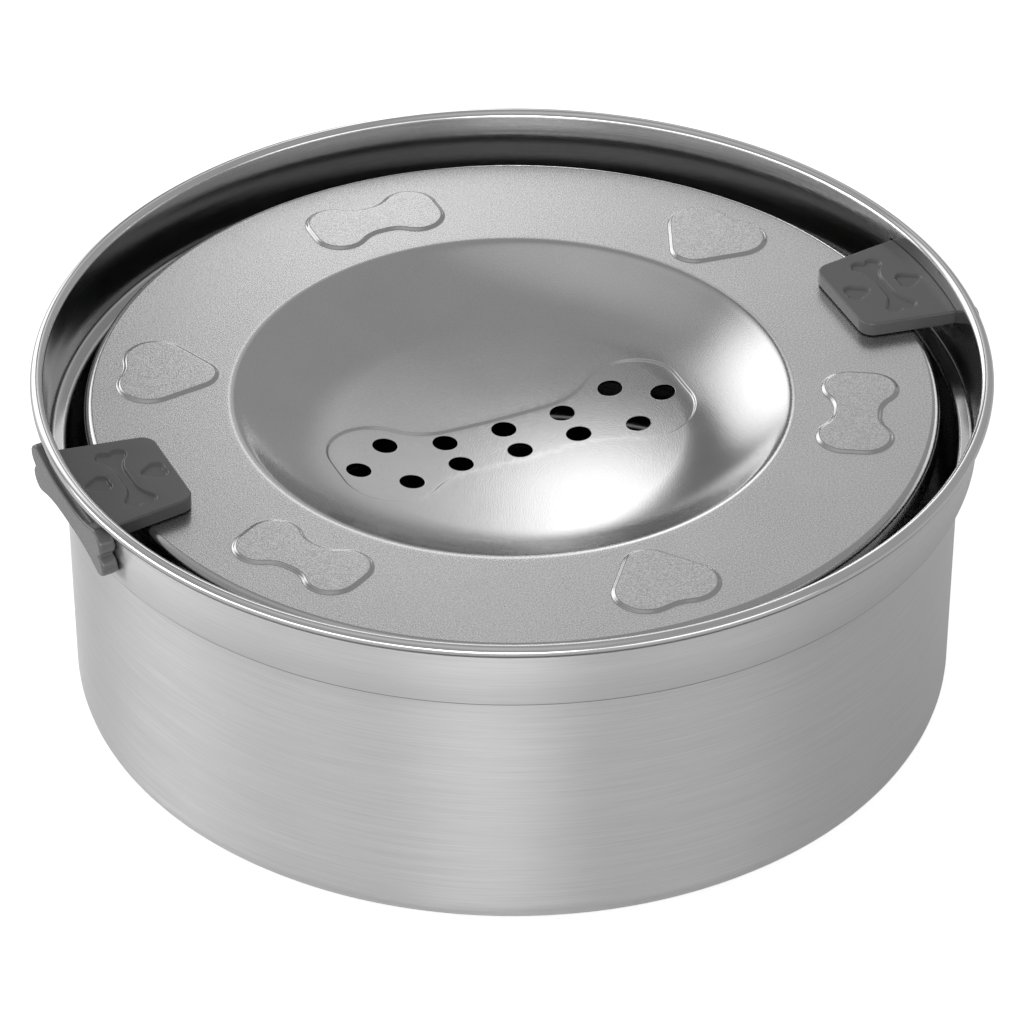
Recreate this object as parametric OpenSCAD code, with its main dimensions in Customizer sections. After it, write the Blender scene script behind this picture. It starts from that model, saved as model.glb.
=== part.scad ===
// Floating water bowl for a pet: a drawn steel bowl, a hollow steel float with a perforated
// drinking dish, and two slide-in latches that keep the float under the rim.
// Millimetres, +Z up, origin on the standing plane at the bowl's axis, latches along X.

/* [Bowl] */
// Diameter over the rolled rim
rim_d = 250; // [230:1:300]
// Height from the standing plane to the top of the rim
bowl_h = 96; // [86:0.5:150]
// Thickness of the bowl's steel sheet
bowl_sheet = 0.8; // [0.5:0.1:1.2]
// Diameter of the rolled rim's bead
bead_d = 3.4; // [2.8:0.1:5]
// Distance from the bead's inner side to the outside of the band below it
band_inset = 1; // [0.9:0.05:1.3]
// Height of the band, from the bead's centre down to the ledge
band_h = 18.6; // [16:0.1:26]
// How much the band's radius shrinks from the rim to the ledge
band_flare = 1.6; // [0:0.1:3]
// How far the ledge steps in to the lower wall
ledge_w = 4.1; // [2:0.1:8]
// Lean of the lower wall, in degrees
wall_draft = 1.15; // [0:0.05:2]
// Outer radius of the corner between the wall and the base
base_corner_r = 7.5; // [4:0.5:12]
// How far the middle of the base is pressed up
base_kick = 2; // [1:0.1:4]
// Distance from the corner's start to the pressed-up middle of the base
base_land_w = 14; // [12:0.5:24]

/* [Grip ring] */
// Width of the grip ring under the base
grip_w = 8; // [4:0.5:10]
// Thickness of the grip ring
grip_t = 1.2; // [0.8:0.1:3]
// Distance from the corner's start to the grip ring's outer edge
grip_inset = 1.5; // [0.5:0.1:2]

/* [Float plate] */
// Gap between the float's edge and the bowl's wall at the ledge
float_gap = 4.8; // [2.5:0.1:7]
// Thickness of the float's steel sheet
float_sheet = 0.6; // [0.5:0.05:0.8]
// Height of the float from its ring down to the bottom of its pan
float_depth = 19; // [18:0.5:24]
// Rounding of the float's edge
edge_r = 2.2; // [1:0.1:2.5]
// Height of the skirt that hangs from the edge
skirt_h = 9; // [7:0.5:12]
// Diameter of the dish at its crease
dish_d = 146.6; // [136:0.2:150]
// Depth of the dish below the ring
dish_depth = 14.4; // [13:0.1:15.5]
// Diameter of the nearly flat middle of the dish
dish_middle_d = 90; // [80:1:100]
// Radius of curvature of that middle
dish_middle_r = 330; // [280:5:400]

/* [Drain panel] */
// Length of the bone-shaped panel in the dish
panel_l = 99; // [97:0.5:104]
// Width of the panel at its ends
panel_w = 35.6; // [33:0.2:40]
// Width of the panel at its waist
panel_waist = 19.4; // [18.4:0.2:24]
// Half length of the panel's straight waist
panel_flat = 15; // [8:0.5:18]
// Depth of the panel below the dish
panel_recess = 0.45; // [0.3:0.05:0.5]
// Diameter of each drain hole
hole_d = 6.6; // [5:0.1:7]
// Distance of the two end holes from the axis
hole_end_x = 43.5; // [42:0.1:44.5]
// Place of the four outer holes along the panel
hole_lobe_x = 32.3; // [31:0.1:34]
// Place of the four outer holes across the panel
hole_lobe_y = 8.9; // [7:0.1:11]
// Place of the four inner holes along the panel
hole_shaft_x = 16.8; // [12:0.1:20]
// Place of the inner and middle holes across the panel
hole_shaft_y = 5.2; // [4.4:0.1:5.6]

/* [Ring motifs] */
// How far the motifs sit inside the middle of the ring
motif_in = 2.3; // [0:0.1:4]
// Height of the raised motifs
motif_rise = 1; // [0.5:0.1:1.5]
// Length of a raised bone
bone_l = 36.9; // [34:0.1:40]
// Width of a raised bone at its ends
bone_w = 19.9; // [19:0.1:22]
// Width of a raised bone at its waist
bone_waist = 12.3; // [10:0.1:13]
// Half length of a raised bone's straight waist
bone_flat = 1; // [0.5:0.1:2]
// Width of a raised heart
heart_w = 28.4; // [27:0.1:30]
// Length of a raised heart
heart_l = 25.7; // [24.5:0.1:27]

/* [Float pan and seals] */
// Diameter of the pan's open middle, under the drain panel
well_d = 112; // [108:0.5:118]
// Rounding of the pan's bottom edges
pan_corner_r = 4; // [2:0.5:6]
// Gap between the pan's outer wall and the ring above it
pan_top_gap = 0.5; // [0.3:0.1:1.5]
// Width of the outer seal between the skirt and the pan
seal_w = 1.2; // [0.8:0.1:2]
// Height of the outer seal
seal_h = 5; // [3:0.5:6]
// Distance from the skirt's lower edge up to the outer seal
seal_lift = 1; // [0.5:0.1:1.5]
// Wall of the inner seal's cap around the pan's inner wall
cap_wall = 1; // [0.6:0.1:1.5]
// Height of the inner seal below the top of the pan's inner wall
cap_h = 3; // [2:0.5:4]
// How far the seals are squeezed where they touch the steel
seal_squeeze = 0.05; // [0:0.01:0.1]

/* [Latches] */
// Angle that a latch's tongue covers
tongue_angle = 18; // [15:0.1:20]
// Thickness of the tongue
tongue_t = 4; // [3:0.1:5]
// How far the tongue reaches over the float
tongue_reach = 16.4; // [14.5:0.1:18]
// Rounding of the tongue's inner corners
tongue_corner_r = 4; // [2:0.5:6]
// Gap between the tongue and the float's ring
tongue_gap = 0.25; // [0.2:0.05:0.6]
// Clearance of the tongue in its slot, on each side
slot_clear = 0.3; // [0.2:0.05:0.5]
// Height of the steel left between the bead and the slot
slot_margin = 1.5; // [1:0.1:3]
// Length of the bone-shaped head outside the band
head_l = 48; // [44:0.5:56]
// Height of the head at its ends
head_h = 13.8; // [12:0.1:14.5]
// Height of the head's shaft
head_shaft = 7.8; // [6:0.1:9]
// Half length of the head's straight shaft
head_flat = 4; // [2:0.5:8]
// Thickness of the head in its middle, where its flat outside is nearest to the band
head_t = 2.7; // [2.2:0.1:3.5]
// Clearance of the head from the band and the bead
head_clear = 0.3; // [0.2:0.05:0.6]
// Depth of the marks in the tongue's top
mark_depth = 0.5; // [0.3:0.1:0.8]
// Length of the bone mark, across the tongue
mark_bone_l = 25.2; // [22:0.2:26]
// Width of the bone mark at its ends
mark_bone_w = 8.2; // [7.4:0.1:9]
// Width of the bone mark's shaft
mark_bone_shaft = 2.4; // [1.6:0.1:4]
// Half length of the bone mark's straight shaft
mark_flat = 3; // [2:0.1:4]
// Width and length of the heart marks
mark_heart = 6.4; // [5.6:0.1:6.8]
// Distance of the heart marks from the bone mark
mark_heart_x = 7.6; // [7.4:0.1:8.2]

/* [Hidden] */
$fn = 96;

// Overlap that makes joined shapes one solid, the spare reach of cuts, and the angle between arc points
join = 0.2;
spare = 1;
arc_step = 15;

// Radii of the figures, as shares of their width
bone_lobe_share = 0.37;
knuckle_share = 0.26;
heart_lobe_share = 0.3;
heart_tip_share = 0.23;
heart_notch_share = 0.43;

// Levels and radii of the bowl
bead_r = bead_d / 2;
rim_r = rim_d / 2;
rim_z = bowl_h - bead_r;
ledge_z = rim_z - band_h;
base_z = grip_t;
band_top_r = rim_r - bead_d + band_inset;
band_bottom_r = band_top_r - band_flare;
wall_top_r = band_bottom_r - ledge_w;
corner_z = base_z + base_corner_r;
corner_x = wall_top_r - (ledge_z - corner_z) * tan(wall_draft) - base_corner_r / cos(wall_draft);
kick_r = corner_x - base_land_w;

// Levels and radii of the float
float_r = wall_top_r - bowl_sheet / cos(wall_draft) - float_gap;
slot_top_z = rim_z - bead_r - slot_margin;
tongue_z = slot_top_z - slot_clear - tongue_t;
ring_z = tongue_z - tongue_gap;
skirt_z = ring_z - skirt_h;
pan_z = ring_z - float_depth;
pan_r = float_r - float_sheet - seal_w;
well_r = well_d / 2;

// The dish: a shallow middle arc that runs on into a tighter arc up to the crease
dish_r = dish_d / 2;
dish_middle = dish_middle_d / 2;
dish_z = ring_z - dish_depth;
middle_tilt = asin(dish_middle / dish_middle_r);
middle_rise = dish_middle_r * (1 - cos(middle_tilt));
chord_tilt = atan((dish_depth - middle_rise) / (dish_r - dish_middle));
crease_tilt = 2 * chord_tilt - middle_tilt;
side_r = (dish_r - dish_middle) / (sin(crease_tilt) - sin(middle_tilt));
middle_c = [0, dish_z + dish_middle_r];
side_c = middle_c + (dish_middle_r - side_r) * [sin(middle_tilt), -cos(middle_tilt)];

// Upper edges of the pan's outer and inner walls
pan_top_z = ring_z - float_sheet - pan_top_gap;
pan_lip_z = side_skin_z(well_r - cap_wall, float_sheet) - cap_wall;

// The latch
tongue_half = tongue_angle / 2;
tongue_in_x = float_r - tongue_reach;
mark_x = (tongue_in_x + band_bottom_r) / 2;
head_z = rim_z - bead_r - head_clear - head_h / 2;
head_lean = atan(band_flare / band_h);
head_in_r = band_bottom_r + (head_z - ledge_z) * tan(head_lean) + head_clear;
head_back = pow(head_l / 2, 2) / head_in_r;
slot_half = band_top_r * tan(tongue_half) + slot_clear;

// Ring motifs
motif_r = (dish_r + float_r) / 2 - motif_in;
motif_step = 60;

// Height of the dish's skin at radius r, moved down by inset, outside its middle
function side_skin_z(r, inset) = side_c[1] - sqrt(pow(side_r + inset, 2) - pow(r - side_c[0], 2));

// Points along an arc about a centre, from one angle to another
function arc(centre, r, from, to) =
    let (steps = ceil(abs(to - from) / arc_step))
    let (turn = (to - from) / steps)
    [for (k = [0:steps]) centre + r * [cos(from + turn * k), sin(from + turn * k)]];

// The points without the first and without the last ones
function cut_ends(points, first, last) = [for (k = [first:len(points) - 1 - last]) points[k]];

// The points in the opposite order, scaled by sx and sy
function flipped(points, sx, sy) =
    [for (k = [len(points) - 1:-1:0]) [sx * points[k][0], sy * points[k][1]]];

// Quarter outline of a bone: from an angle on its lobe at the end to the straight part of its waist
function bone_quarter(length, width, waist, flat, lobe_r, start) =
    let (lobe = [length / 2 - lobe_r, width / 2 - lobe_r])
    let (run = lobe[0] - flat)
    let (rise = waist / 2 - lobe[1])
    let (bend_r = (run * run + rise * rise - lobe_r * lobe_r) / (2 * (lobe_r - rise)))
    let (bend = [flat, waist / 2 + bend_r])
    let (touch = atan2(bend[1] - lobe[1], bend[0] - lobe[0]))
    concat(arc(lobe, lobe_r, start, touch), cut_ends(arc(bend, bend_r, touch - 180, -90), 1, 0));

// A smooth bone with blunt ends: length along X, widths of its ends and waist, half its straight part
module smooth_bone(length, width, waist, flat) {
    corner = bone_quarter(length, width, waist, flat, width * bone_lobe_share, 0);
    half = concat(corner, flipped(corner, -1, 1));
    polygon(concat(half, -half));
}

// A bone with two knuckles at each end, in the same way
module knuckle_bone(length, width, waist, flat) {
    notch = asin((knuckle_share - 0.5) / knuckle_share);
    corner = bone_quarter(length, width, waist, flat, width * knuckle_share, notch);
    half = concat(corner, flipped(corner, -1, 1));
    polygon(concat(half, -cut_ends(half, 1, 1)));
}

// A heart with a shallow notch: its tip towards -X, centred on its length
module heart(width, length) {
    lobe_r = width * heart_lobe_share;
    tip_r = width * heart_tip_share;
    notch_r = width * heart_notch_share;
    lobe = [length / 2 - lobe_r, width / 2 - lobe_r];
    tip = [tip_r - length / 2, 0];
    notch = [lobe[0] + sqrt(pow(lobe_r + notch_r, 2) - pow(lobe[1], 2)), 0];
    side = lobe - tip;
    lean = atan2(side[1], side[0]) + acos((tip_r - lobe_r) / norm(side));
    touch = atan2(notch[1] - lobe[1], notch[0] - lobe[0]);
    half = concat(arc(tip, tip_r, 180, lean), arc(lobe, lobe_r, lean, touch),
                  cut_ends(arc(notch, notch_r, touch + 180, 180), 1, 0));
    polygon(concat([for (p = half) [p[0], -p[1]]], flipped(cut_ends(half, 1, 1), 1, 1)));
}

// Half section of the space inside the bowl's skin, with the skin moved in by inset
module bowl_fill(inset) {
    lean = inset / cos(wall_draft);
    r = base_corner_r - inset;
    floor_z = base_z + inset;
    step_z = ledge_z + inset;
    polygon([
        [0, floor_z + base_kick],
        [kick_r, floor_z + base_kick],
        [kick_r + base_kick, floor_z],
        [corner_x, floor_z],
        [corner_x, corner_z],
        [corner_x + r * cos(wall_draft), corner_z - r * sin(wall_draft)],
        [wall_top_r - lean + inset * tan(wall_draft), step_z],
        [band_bottom_r - inset, step_z],
        [band_top_r - inset, rim_z],
        [0, rim_z]
    ]);
    intersection() {
        translate([corner_x, corner_z]) circle(r);
        translate([corner_x, floor_z - spare]) square([r + spare, r + spare]);
    }
}

module bowl_shell() {
    color("silver") difference() {
        rotate_extrude() {
            difference() {
                bowl_fill(0);
                bowl_fill(bowl_sheet);
            }
            translate([rim_r - bead_r, rim_z]) circle(bead_r);
        }
        for (turn = [0, 180])
            rotate([0, 0, turn]) translate([wall_top_r, -slot_half, tongue_z - slot_clear])
                cube([rim_r - wall_top_r, 2 * slot_half, tongue_t + 2 * slot_clear]);
    }
}

module base_grip_ring() {
    color("dimgray") rotate_extrude()
        translate([corner_x - grip_inset - grip_w, 0]) square([grip_w, grip_t]);
}

// Half section of the space under the float plate's skin, with the skin moved down by inset
module float_fill(inset) {
    low_z = pan_z - inset - spare;
    difference() {
        union() {
            translate([0, low_z]) square([float_r - edge_r, ring_z - inset - low_z]);
            translate([0, low_z]) square([float_r - inset, ring_z - edge_r - low_z]);
            translate([float_r - edge_r, ring_z - edge_r]) circle(edge_r - inset);
        }
        dish_hollow(inset);
    }
}

// Half section of the dish's hollow, with its skin moved down by inset
module dish_hollow(inset) {
    reach = dish_middle_r + dish_depth;
    ray = [sin(middle_tilt), -cos(middle_tilt)];
    intersection() {
        translate(middle_c) circle(dish_middle_r + inset, $fn = 720);
        polygon([middle_c, middle_c - [0, reach], middle_c + reach * ray]);
    }
    translate(side_c) circle(side_r + inset, $fn = 360);
}

// The float plate's pressed sheet without its panel, motifs and holes
module float_sheet_turned() {
    rotate_extrude() intersection() {
        difference() {
            float_fill(0);
            float_fill(float_sheet);
        }
        polygon([
            [0, pan_z],
            [float_r - edge_r - spare, pan_z],
            [float_r - edge_r - spare, skirt_z],
            [float_r + spare, skirt_z],
            [float_r + spare, ring_z + spare],
            [0, ring_z + spare]
        ]);
    }
}

// Prism over the drain panel, grown by grow on every side, from below the dish to halfway up it
module panel_prism(grow) {
    translate([0, 0, pan_z])
        linear_extrude(ring_z - dish_depth / 2 - pan_z)
            smooth_bone(panel_l + 2 * grow, panel_w + 2 * grow, panel_waist + 2 * grow, panel_flat);
}

module drain_holes() {
    spots = concat(
        [for (sx = [-1, 1]) [sx * hole_end_x, 0]],
        [for (sx = [-1, 1], sy = [-1, 1]) [sx * hole_lobe_x, sy * hole_lobe_y]],
        [for (sx = [-1, 0, 1], sy = [-1, 1]) [sx * hole_shaft_x, sy * hole_shaft_y]]
    );
    for (spot = spots)
        translate([spot[0], spot[1], pan_z]) cylinder(h = ring_z - pan_z, d = hole_d);
}

// Raised bones and hearts in turn around the ring
module ring_motifs() {
    for (k = [0:360 / motif_step - 1])
        rotate([0, 0, motif_step * (k + 0.5)]) translate([motif_r, 0, ring_z - join])
            linear_extrude(motif_rise + join)
                if (k % 2 == 0)
                    heart(heart_w, heart_l);
                else
                    rotate(90) smooth_bone(bone_l, bone_w, bone_waist, bone_flat);
}

module float_top_plate() {
    color("lightgray") difference() {
        union() {
            difference() {
                float_sheet_turned();
                panel_prism(0);
            }
            intersection() {
                translate([0, 0, -panel_recess]) float_sheet_turned();
                panel_prism(float_sheet);
            }
            ring_motifs();
        }
        drain_holes();
    }
}

// Half section of the pan's trough, moved in by inset, open at the top
module trough_fill(inset, top_z) {
    r = pan_corner_r - inset;
    bend_z = pan_z + pan_corner_r;
    translate([well_r + inset, bend_z]) square([pan_r - well_r - 2 * inset, top_z - bend_z]);
    translate([well_r + pan_corner_r, pan_z + inset])
        square([pan_r - well_r - 2 * pan_corner_r, pan_corner_r]);
    for (x = [well_r + pan_corner_r, pan_r - pan_corner_r])
        translate([x, bend_z]) circle(r);
}

module float_pan() {
    color("gainsboro") rotate_extrude() difference() {
        trough_fill(0, pan_top_z);
        trough_fill(float_sheet, pan_top_z + spare);
        translate([0, pan_lip_z]) square([well_r + pan_corner_r, ring_z - pan_lip_z]);
    }
}

module outer_seam_gasket() {
    color("darkgray") rotate_extrude()
        translate([pan_r - seal_squeeze, skirt_z + seal_lift]) square([seal_w + 2 * seal_squeeze, seal_h]);
}

// A cap over the pan's inner wall, pressed up against the underside of the dish
module inner_seam_gasket() {
    color("darkgray") rotate_extrude() intersection() {
        difference() {
            translate([well_r - cap_wall, pan_lip_z - cap_h])
                square([float_sheet + 2 * cap_wall, ring_z - pan_lip_z + cap_h]);
            translate([well_r + seal_squeeze, pan_lip_z - cap_h - spare])
                square([float_sheet - 2 * seal_squeeze, cap_h + spare]);
        }
        float_fill(float_sheet - seal_squeeze);
    }
}

// Outline of a tongue from its rounded inner end to the head, along X
module tongue_outline() {
    r = tongue_corner_r;
    side = [cos(tongue_half), sin(tongue_half)];
    across = [-sin(tongue_half), cos(tongue_half)];
    corner = [tongue_in_x + r, ((tongue_in_x + r) * sin(tongue_half) - r) / cos(tongue_half)];
    outer = (head_in_r + head_t / 2) / cos(tongue_half) * side;
    for (flip = [0, 1])
        mirror([0, flip]) {
            polygon([[tongue_in_x, 0], [tongue_in_x, corner[1]], corner, corner + r * across,
                     outer, [outer[0], 0]]);
            translate(corner) circle(r);
        }
}

// Marks sunk into the tongue's top: a bone across it and a heart on each side
module tongue_marks() {
    rotate(90) knuckle_bone(mark_bone_l, mark_bone_w, mark_bone_shaft, mark_flat);
    for (side = [-1, 1])
        translate([side * mark_heart_x, 0]) mirror([1, 0]) heart(mark_heart, mark_heart);
}

module latch() {
    color([0.33, 0.33, 0.33]) {
        difference() {
            translate([0, 0, tongue_z]) linear_extrude(tongue_t) tongue_outline();
            translate([mark_x, 0, tongue_z + tongue_t - mark_depth])
                linear_extrude(mark_depth + spare) tongue_marks();
        }
        difference() {
            translate([head_in_r, 0, head_z]) rotate([0, head_lean, 0])
                translate([-head_back, 0, 0]) rotate([90, 0, 90])
                    linear_extrude(head_back + head_t) knuckle_bone(head_l, head_h, head_shaft, head_flat);
            translate([0, 0, ledge_z])
                cylinder(h = band_h, r1 = band_bottom_r + head_clear, r2 = band_top_r + head_clear);
        }
    }
}

module right_latch() {
    latch();
}

module left_latch() {
    rotate([0, 0, 180]) latch();
}

bowl_shell();
base_grip_ring();
float_top_plate();
float_pan();
outer_seam_gasket();
inner_seam_gasket();
left_latch();
right_latch();
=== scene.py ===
"""Floating water bowl: the looks of its pieces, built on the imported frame."""
import math

import bpy
import numpy as np
from bpy.props import FloatProperty, IntProperty, PointerProperty
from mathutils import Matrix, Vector
from mathutils.geometry import delaunay_2d_cdt


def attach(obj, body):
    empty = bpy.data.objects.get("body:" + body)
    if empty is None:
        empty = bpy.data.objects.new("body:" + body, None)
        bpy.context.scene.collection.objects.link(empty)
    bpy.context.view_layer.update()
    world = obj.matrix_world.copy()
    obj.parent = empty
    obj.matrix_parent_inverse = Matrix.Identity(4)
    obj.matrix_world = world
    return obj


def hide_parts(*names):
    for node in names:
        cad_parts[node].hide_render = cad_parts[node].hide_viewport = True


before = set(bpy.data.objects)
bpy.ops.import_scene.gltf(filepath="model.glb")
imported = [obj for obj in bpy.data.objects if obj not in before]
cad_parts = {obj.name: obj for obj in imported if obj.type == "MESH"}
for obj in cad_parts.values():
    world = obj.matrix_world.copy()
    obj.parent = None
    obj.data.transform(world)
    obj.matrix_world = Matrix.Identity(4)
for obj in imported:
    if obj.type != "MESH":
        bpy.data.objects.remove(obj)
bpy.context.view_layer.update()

bl_info = {
    "name": "Floating water bowl",
    "version": (1, 0, 0),
    "blender": (4, 5, 0),
    "location": "View3D > Sidebar > Bowl",
    "description": "Builds the looks of a floating water bowl on its packed frame",
    "category": "Object",
}

MM = 0.001


def length(name, description, millimetres):
    metres = millimetres * MM
    return FloatProperty(name=name, description=description, default=metres, unit="LENGTH", precision=5)


def angle(name, description, degrees):
    return FloatProperty(name=name, description=description, default=math.radians(degrees), unit="ROTATION")


def share(name, description, value):
    return FloatProperty(name=name, description=description, default=value, precision=4)


class BowlSettings(bpy.types.PropertyGroup):
    """Sizes of the bowl and its grip ring."""

    rim_r: length("Rim radius", "Radius over the rolled rim", 124.96)
    rim_z: length("Rim height", "Height of the bead's centre", 94.3)
    bead_r: length("Bead radius", "Radius of the rolled bead", 1.69)
    sheet: length("Sheet", "Thickness of the steel", 0.8)
    band_top_r: length("Band top radius", "Outer radius of the band at the bead", 122.6)
    band_bottom_r: length("Band bottom radius", "Outer radius of the band at the ledge", 121)
    ledge_z: length("Ledge height", "Height of the ledge's underside", 75.7)
    ledge_round: length("Ledge rounding", "Rounding of the ledge's bends", 0.7)
    wall_top_r: length("Wall radius", "Outer radius of the wall under the ledge", 116.9)
    wall_draft: angle("Wall draft", "Lean of the wall", 1.15)
    corner_r: length("Corner radius", "Outer radius of the corner at the base", 7.5)
    base_z: length("Base height", "Height of the base over the floor", 1.2)
    kick: length("Base rise", "How far the middle of the base is pressed up", 2)
    land_w: length("Base land", "Width of the land around the raised middle", 14)
    base_bend: length("Base bend", "Rounding of the bends around the raised middle", 1.5)
    wall_bend: length("Wall bend", "Rounding between the wall and the ledge", 0.6)
    inner_bend: length("Inner bend", "Rounding between the ledge and the band, inside", 1)
    inner_wall_bend: length("Inner wall bend", "Rounding between the wall and the ledge, inside", 1.2)
    groove_drop: length("Groove drop", "Depth of the bead's groove below its centre", 1.15)
    groove_h: length("Groove height", "Height of the band's last stretch below that groove", 0.7)
    groove_out: length("Groove step", "Step of the band at that groove", 0.02)
    slot_lip: length("Slot lip", "Height of the band's inside kept straight below a slot", 0.4)
    slot_half: length("Slot half width", "Half width of a latch's slot", 19.72)
    slot_low: length("Slot bottom", "Height of the slot's lower edge", 86.5)
    slot_high: length("Slot top", "Height of the slot's upper edge", 91.1)
    grip_w: length("Grip width", "Width of the grip ring", 8)
    grip_inset: length("Grip inset", "Distance of the grip ring from the corner's start", 1.5)
    grip_edge: length("Grip edge", "Rounding of the grip ring's edges", 0.35)
    groove_top: length("Grip groove", "Half width of a grip groove at the floor", 0.5)
    groove_floor: length("Groove floor", "Half width of a grip groove at its bottom", 0.25)
    groove_depth: length("Groove depth", "Depth of a grip groove", 0.35)
    groove_bend: length("Groove bend", "Rounding of a grip groove's corners", 0.1)
    grooves: IntProperty(name="Grooves", description="Grooves in the grip ring", default=3)
    steps: IntProperty(name="Steps", description="Steps around the axis", default=288)


class FloatSettings(bpy.types.PropertyGroup):
    """Sizes of the float's plate, pan and seals."""

    ring_z: length("Ring height", "Height of the ring's top", 86.55)
    float_r: length("Float radius", "Radius of the float's edge", 111.3)
    sheet: length("Sheet", "Thickness of the steel", 0.6)
    edge_r: length("Edge rounding", "Rounding of the float's edge", 2.2)
    skirt_h: length("Skirt height", "Height of the skirt under the edge", 9)
    hem_r: length("Hem rounding", "Rounding of the skirt's lower edge", 0.3)
    dish_r: length("Dish radius", "Radius of the dish at its crease", 72.1)
    dish_depth: length("Dish depth", "Depth of the dish below the ring", 14.4)
    middle_r: length("Middle radius", "Radius of the shallow middle of the dish", 45)
    middle_bend: length("Middle bend", "Radius of curvature of that middle", 330)
    crease: length("Crease", "Height over which the crease is rounded", 1.8)
    panel_l: length("Panel length", "Length of the drain panel", 99)
    panel_w: length("Panel width", "Width of the drain panel at its ends", 35.6)
    panel_waist: length("Panel waist", "Width of the drain panel at its waist", 19.4)
    panel_flat: length("Panel straight", "Half length of the panel's straight waist", 15)
    panel_recess: length("Panel recess", "Depth of the panel below the dish", 0.5)
    panel_slope: length("Panel slope", "Width of the panel's sloped border", 0.8)
    hole_r: length("Hole radius", "Radius of each drain hole", 3.3)
    hole_tip: length("End holes", "Distance of the end holes from the panel's middle", 43.5)
    hole_lobe: length("Lobe holes", "Distance of the lobe holes along the panel", 32.3)
    hole_lobe_y: length("Lobe holes aside", "Distance of the lobe holes from the panel's line", 8.9)
    hole_waist: length("Waist holes", "Step of the waist holes along the panel", 16.8)
    hole_waist_y: length("Waist holes aside", "Distance of the waist holes from the panel's line", 5.2)
    hole_roll: length("Hole rounding", "Rounding of each hole's edge", 0.06)
    motif_r: length("Motif radius", "Distance of the motifs from the axis", 90)
    motif_rise: length("Motif height", "Height of the raised motifs", 0.6)
    motif_slope: length("Motif slope", "Width of a motif's sloped side", 1.4)
    bone_l: length("Bone length", "Length of a raised bone", 36.9)
    bone_w: length("Bone width", "Width of a raised bone at its ends", 19.9)
    bone_waist: length("Bone waist", "Width of a raised bone at its waist", 12.3)
    bone_flat: length("Bone straight", "Half length of a raised bone's straight waist", 1)
    heart_w: length("Heart width", "Width of a raised heart", 28.4)
    heart_l: length("Heart length", "Length of a raised heart", 25.7)
    pan_r: length("Pan radius", "Outer radius of the pan", 109.5)
    pan_z: length("Pan bottom", "Height of the pan's bottom", 67.55)
    pan_top: length("Pan top", "Height of the pan's outer wall", 85.45)
    pan_lip: length("Pan lip", "Height of the pan's inner wall", 75.82)
    pan_corner: length("Pan corner", "Rounding of the pan's bottom edges", 4)
    well_r: length("Well radius", "Radius of the pan's open middle", 56)
    seal_low: length("Seal bottom", "Height of the outer seal's lower edge", 78.55)
    seal_h: length("Seal height", "Height of the outer seal", 5)
    cap_wall: length("Cap wall", "Wall of the inner seal", 1)
    cap_h: length("Cap height", "Height of the inner seal below the pan's lip", 3)
    cap_gap: length("Cap gap", "Gap between the inner seal and the dish", 0.05)
    steps: IntProperty(name="Steps", description="Steps around the axis", default=240)


class LatchSettings(bpy.types.PropertyGroup):
    """Sizes of the two latches."""

    tongue_half: angle("Tongue half angle", "Half of the angle that a tongue covers", 9)
    tongue_in: length("Tongue end", "Distance of the tongue's inner end from the axis", 94.9)
    tongue_z: length("Tongue bottom", "Height of the tongue's underside", 86.8)
    tongue_t: length("Tongue thickness", "Thickness of the tongue", 4)
    tongue_corner: length("Tongue corner", "Rounding of the tongue's inner corners", 4)
    edge_r: length("Edge rounding", "Rounding of the latch's edges", 0.5)
    mark_x: length("Mark place", "Distance of the bone mark from the axis", 107.95)
    mark_gap: length("Heart distance", "Distance of the hearts from the bone mark", 7.6)
    mark_depth: length("Mark depth", "Depth of the sunk marks", 0.7)
    mark_slope: length("Mark slope", "Width of a mark's sloped side", 0.9)
    mark_l: length("Mark length", "Length of the bone mark", 25.2)
    mark_w: length("Mark width", "Width of the bone mark at its ends", 8.2)
    mark_shaft: length("Mark shaft", "Width of the bone mark's shaft", 2.4)
    mark_flat: length("Mark straight", "Half length of the bone mark's straight shaft", 3)
    mark_heart: length("Heart size", "Width and length of a heart mark", 6.4)
    head_in: length("Head inside", "Distance of the head's inner side from the axis", 122.13)
    head_t: length("Head thickness", "Thickness of the head in its middle", 2.2)
    head_z: length("Head height", "Height of the head's middle", 85.4)
    head_l: length("Head length", "Length of the head", 47.9)
    head_h: length("Head width", "Height of the head at its ends", 13.7)
    head_shaft: length("Head shaft", "Height of the head's shaft", 7.8)
    head_flat: length("Head straight", "Half length of the head's straight shaft", 4)
    head_lean: angle("Head lean", "Lean of the head along the band", 4.92)


class StageSettings(bpy.types.PropertyGroup):
    """Camera, floor and light."""

    azimuth: angle("Azimuth", "Direction that the camera looks from", -24.2)
    distance: length("Distance", "Level distance of the camera from the axis", 1513.3)
    height: length("Height", "Height of the camera", 1127)
    aim: length("Aim", "Height of the point that the camera looks at", 48.5)
    lens: FloatProperty(name="Lens", description="Focal length in millimetres", default=248.1)
    power: share("Power", "Overall level of the light", 1.0)
    lamp_away: length("Lamp distance", "Distance of the soft boxes from the object", 1700)
    flag_away: length("Card distance", "Distance of the dark card from the object", 1500)
    centre_z: length("Light centre", "Height of the point that the soft boxes face", 50)
    floor_half: length("Floor half", "Half width of the floor", 4000)


def in_mm(group):
    """The group's settings as plain numbers, lengths in millimetres and angles in radians."""
    values = {}
    for name, prop in group.bl_rna.properties.items():
        if prop.type in {"FLOAT", "INT"}:
            value = getattr(group, name)
            values[name] = value / MM if prop.unit == "LENGTH" else value
    return type("Sizes", (), values)


def unit(vector):
    return vector / np.linalg.norm(vector)


OUTLINE_STEP = 0.6


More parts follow.
